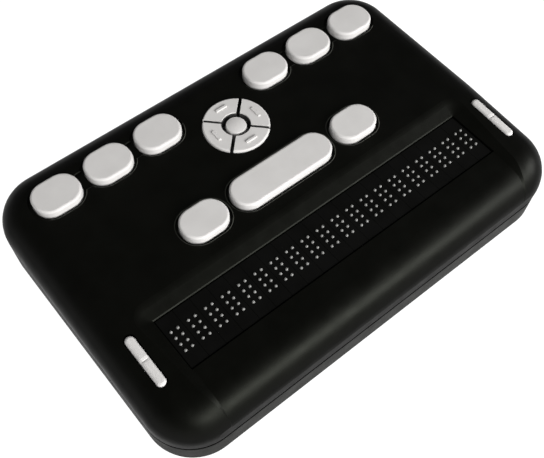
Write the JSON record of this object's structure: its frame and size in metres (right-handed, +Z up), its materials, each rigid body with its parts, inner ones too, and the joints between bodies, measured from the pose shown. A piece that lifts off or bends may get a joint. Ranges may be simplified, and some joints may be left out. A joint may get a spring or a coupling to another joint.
{
  "type": "braille display",
  "caption": "Low black portable braille display with grey dot keys, a space bar, a round navigation pad, panning rockers and a line of braille cells whose pins rise and sink.",
  "frame": {"origin": "centre of the footprint on the table, at the underside of the rubber feet", "axes": "+X along the braille line to the reader's right, +Y to the back edge, +Z up"},
  "size_m": [0.168, 0.112, 0.035],
  "materials": {
    "case_black": "fine satin moulding texture",
    "base_black": "fine satin moulding texture",
    "key_grey": "matte moulded",
    "pin_white": "satin",
    "cap_black": "satin",
    "board_green": "solder mask",
    "screw_steel": "zinc",
    "port_steel": "stamped",
    "foot_rubber": "matte",
    "silicone": "matte",
    "battery_wrap": "shrink wrap",
    "dark_plastic": "moulded",
    "flat_cable": "polyester film"
  },
  "bodies": {
    "case": {"top_housing": "case_black", "bottom_housing": "base_black", "housing_screws": "screw_steel", "rubber_feet": "foot_rubber", "battery_door": "base_black", "battery_door_screws": "screw_steel", "battery_pack": "battery_wrap", "main_board": "board_green", "board_screws": "screw_steel", "usb_port": "port_steel", "card_socket": "port_steel", "power_switch": "dark_plastic", "key_board": "board_green", "key_mat": "silicone", "rocker_pins": "screw_steel", "rocker_boards": "board_green", "rocker_pads": "silicone", "display_board": "board_green", "cell_actuators": "dark_plastic", "cell_caps": "cap_black", "key_ribbon": "flat_cable", "display_ribbon": "flat_cable", "ribbon_sockets": "dark_plastic"},
    "power_button": {"power_button": "key_grey"},
    "key_dot_1": {"key_dot_1": "key_grey"},
    "key_dot_2": {"key_dot_2": "key_grey"},
    "key_dot_3": {"key_dot_3": "key_grey"},
    "key_dot_4": {"key_dot_4": "key_grey"},
    "key_dot_5": {"key_dot_5": "key_grey"},
    "key_dot_6": {"key_dot_6": "key_grey"},
    "key_dot_7": {"key_dot_7": "key_grey"},
    "key_dot_8": {"key_dot_8": "key_grey"},
    "key_space": {"key_space": "key_grey"},
    "nav_up": {"nav_up": "key_grey"},
    "nav_down": {"nav_down": "key_grey"},
    "nav_left": {"nav_left": "key_grey"},
    "nav_right": {"nav_right": "key_grey"},
    "nav_select": {"nav_select": "key_grey"},
    "rocker_left": {"rocker_left": "key_grey"},
    "rocker_right": {"rocker_right": "key_grey"},
    "cell_01_pins": {"cell_01_pins": "pin_white"},
    "cell_02_pins": {"cell_02_pins": "pin_white"},
    "cell_03_pins": {"cell_03_pins": "pin_white"},
    "cell_04_pins": {"cell_04_pins": "pin_white"},
    "cell_05_pins": {"cell_05_pins": "pin_white"},
    "cell_06_pins": {"cell_06_pins": "pin_white"},
    "cell_07_pins": {"cell_07_pins": "pin_white"},
    "cell_08_pins": {"cell_08_pins": "pin_white"},
    "cell_09_pins": {"cell_09_pins": "pin_white"},
    "cell_10_pins": {"cell_10_pins": "pin_white"},
    "cell_11_pins": {"cell_11_pins": "pin_white"},
    "cell_12_pins": {"cell_12_pins": "pin_white"},
    "cell_13_pins": {"cell_13_pins": "pin_white"},
    "cell_14_pins": {"cell_14_pins": "pin_white"},
    "cell_15_pins": {"cell_15_pins": "pin_white"},
    "cell_16_pins": {"cell_16_pins": "pin_white"},
    "cell_17_pins": {"cell_17_pins": "pin_white"},
    "cell_18_pins": {"cell_18_pins": "pin_white"},
    "cell_19_pins": {"cell_19_pins": "pin_white"},
    "cell_20_pins": {"cell_20_pins": "pin_white"}
  },
  "joints": [
    {"name": "key_dot_1_press", "type": "slide", "parent": "case", "child": "key_dot_1", "axis": [0, 0, 1], "range_m": [-0.0012, 0], "stiffness_N_per_m": 150, "deforming": ["key_mat"]},
    {"name": "key_dot_2_press", "type": "slide", "parent": "case", "child": "key_dot_2", "axis": [0, 0, 1], "range_m": [-0.0012, 0], "stiffness_N_per_m": 150, "deforming": ["key_mat"]},
    {"name": "key_dot_3_press", "type": "slide", "parent": "case", "child": "key_dot_3", "axis": [0, 0, 1], "range_m": [-0.0012, 0], "stiffness_N_per_m": 150, "deforming": ["key_mat"]},
    {"name": "key_dot_4_press", "type": "slide", "parent": "case", "child": "key_dot_4", "axis": [0, 0, 1], "range_m": [-0.0012, 0], "stiffness_N_per_m": 150, "deforming": ["key_mat"]},
    {"name": "key_dot_5_press", "type": "slide", "parent": "case", "child": "key_dot_5", "axis": [0, 0, 1], "range_m": [-0.0012, 0], "stiffness_N_per_m": 150, "deforming": ["key_mat"]},
    {"name": "key_dot_6_press", "type": "slide", "parent": "case", "child": "key_dot_6", "axis": [0, 0, 1], "range_m": [-0.0012, 0], "stiffness_N_per_m": 150, "deforming": ["key_mat"]},
    {"name": "key_dot_7_press", "type": "slide", "parent": "case", "child": "key_dot_7", "axis": [0, 0, 1], "range_m": [-0.0012, 0], "stiffness_N_per_m": 150, "deforming": ["key_mat"]},
    {"name": "key_dot_8_press", "type": "slide", "parent": "case", "child": "key_dot_8", "axis": [0, 0, 1], "range_m": [-0.0012, 0], "stiffness_N_per_m": 150, "deforming": ["key_mat"]},
    {"name": "key_space_press", "type": "slide", "parent": "case", "child": "key_space", "axis": [0, 0, 1], "range_m": [-0.0012, 0], "stiffness_N_per_m": 150, "deforming": ["key_mat"]},
    {"name": "nav_up_press", "type": "slide", "parent": "case", "child": "nav_up", "axis": [0, 0, 1], "range_m": [-0.0007, 0], "stiffness_N_per_m": 120, "deforming": ["key_mat"]},
    {"name": "nav_down_press", "type": "slide", "parent": "case", "child": "nav_down", "axis": [0, 0, 1], "range_m": [-0.0007, 0], "stiffness_N_per_m": 120, "deforming": ["key_mat"]},
    {"name": "nav_left_press", "type": "slide", "parent": "case", "child": "nav_left", "axis": [0, 0, 1], "range_m": [-0.0007, 0], "stiffness_N_per_m": 120, "deforming": ["key_mat"]},
    {"name": "nav_right_press", "type": "slide", "parent": "case", "child": "nav_right", "axis": [0, 0, 1], "range_m": [-0.0007, 0], "stiffness_N_per_m": 120, "deforming": ["key_mat"]},
    {"name": "nav_select_press", "type": "slide", "parent": "case", "child": "nav_select", "axis": [0, 0, 1], "range_m": [-0.0007, 0], "stiffness_N_per_m": 120, "deforming": ["key_mat"]},
    {"name": "rocker_left_tilt", "type": "hinge", "parent": "case", "child": "rocker_left", "pos_m": [-0.07385, -0.0275, 0.0267], "axis": [1, 0, 0], "range_deg": [-2.5, 2.5], "stiffness_Nm_per_rad": 0.02, "deforming": ["rocker_pads"]},
    {"name": "rocker_right_tilt", "type": "hinge", "parent": "case", "child": "rocker_right", "pos_m": [0.07385, -0.0275, 0.0267], "axis": [1, 0, 0], "range_deg": [-2.5, 2.5], "stiffness_Nm_per_rad": 0.02, "deforming": ["rocker_pads"]},
    {"name": "power_button_press", "type": "slide", "parent": "case", "child": "power_button", "axis": [0, 1, 0], "range_m": [-0.0005, 0], "stiffness_N_per_m": 120},
    {"name": "cell_01_pins_sink", "type": "slide", "parent": "case", "child": "cell_01_pins", "axis": [0, 0, 1], "range_m": [-0.00055, 0], "stiffness_N_per_m": 40},
    {"name": "cell_02_pins_sink", "type": "slide", "parent": "case", "child": "cell_02_pins", "axis": [0, 0, 1], "range_m": [-0.00055, 0], "stiffness_N_per_m": 40},
    {"name": "cell_03_pins_sink", "type": "slide", "parent": "case", "child": "cell_03_pins", "axis": [0, 0, 1], "range_m": [-0.00055, 0], "stiffness_N_per_m": 40},
    {"name": "cell_04_pins_sink", "type": "slide", "parent": "case", "child": "cell_04_pins", "axis": [0, 0, 1], "range_m": [-0.00055, 0], "stiffness_N_per_m": 40},
    {"name": "cell_05_pins_sink", "type": "slide", "parent": "case", "child": "cell_05_pins", "axis": [0, 0, 1], "range_m": [-0.00055, 0], "stiffness_N_per_m": 40},
    {"name": "cell_06_pins_sink", "type": "slide", "parent": "case", "child": "cell_06_pins", "axis": [0, 0, 1], "range_m": [-0.00055, 0], "stiffness_N_per_m": 40},
    {"name": "cell_07_pins_sink", "type": "slide", "parent": "case", "child": "cell_07_pins", "axis": [0, 0, 1], "range_m": [-0.00055, 0], "stiffness_N_per_m": 40},
    {"name": "cell_08_pins_sink", "type": "slide", "parent": "case", "child": "cell_08_pins", "axis": [0, 0, 1], "range_m": [-0.00055, 0], "stiffness_N_per_m": 40},
    {"name": "cell_09_pins_sink", "type": "slide", "parent": "case", "child": "cell_09_pins", "axis": [0, 0, 1], "range_m": [-0.00055, 0], "stiffness_N_per_m": 40},
    {"name": "cell_10_pins_sink", "type": "slide", "parent": "case", "child": "cell_10_pins", "axis": [0, 0, 1], "range_m": [-0.00055, 0], "stiffness_N_per_m": 40},
    {"name": "cell_11_pins_sink", "type": "slide", "parent": "case", "child": "cell_11_pins", "axis": [0, 0, 1], "range_m": [-0.00055, 0], "stiffness_N_per_m": 40},
    {"name": "cell_12_pins_sink", "type": "slide", "parent": "case", "child": "cell_12_pins", "axis": [0, 0, 1], "range_m": [-0.00055, 0], "stiffness_N_per_m": 40},
    {"name": "cell_13_pins_sink", "type": "slide", "parent": "case", "child": "cell_13_pins", "axis": [0, 0, 1], "range_m": [-0.00055, 0], "stiffness_N_per_m": 40},
    {"name": "cell_14_pins_sink", "type": "slide", "parent": "case", "child": "cell_14_pins", "axis": [0, 0, 1], "range_m": [-0.00055, 0], "stiffness_N_per_m": 40},
    {"name": "cell_15_pins_sink", "type": "slide", "parent": "case", "child": "cell_15_pins", "axis": [0, 0, 1], "range_m": [-0.00055, 0], "stiffness_N_per_m": 40},
    {"name": "cell_16_pins_sink", "type": "slide", "parent": "case", "child": "cell_16_pins", "axis": [0, 0, 1], "range_m": [-0.00055, 0], "stiffness_N_per_m": 40},
    {"name": "cell_17_pins_sink", "type": "slide", "parent": "case", "child": "cell_17_pins", "axis": [0, 0, 1], "range_m": [-0.00055, 0], "stiffness_N_per_m": 40},
    {"name": "cell_18_pins_sink", "type": "slide", "parent": "case", "child": "cell_18_pins", "axis": [0, 0, 1], "range_m": [-0.00055, 0], "stiffness_N_per_m": 40},
    {"name": "cell_19_pins_sink", "type": "slide", "parent": "case", "child": "cell_19_pins", "axis": [0, 0, 1], "range_m": [-0.00055, 0], "stiffness_N_per_m": 40},
    {"name": "cell_20_pins_sink", "type": "slide", "parent": "case", "child": "cell_20_pins", "axis": [0, 0, 1], "range_m": [-0.00055, 0], "stiffness_N_per_m": 40}
  ]
}
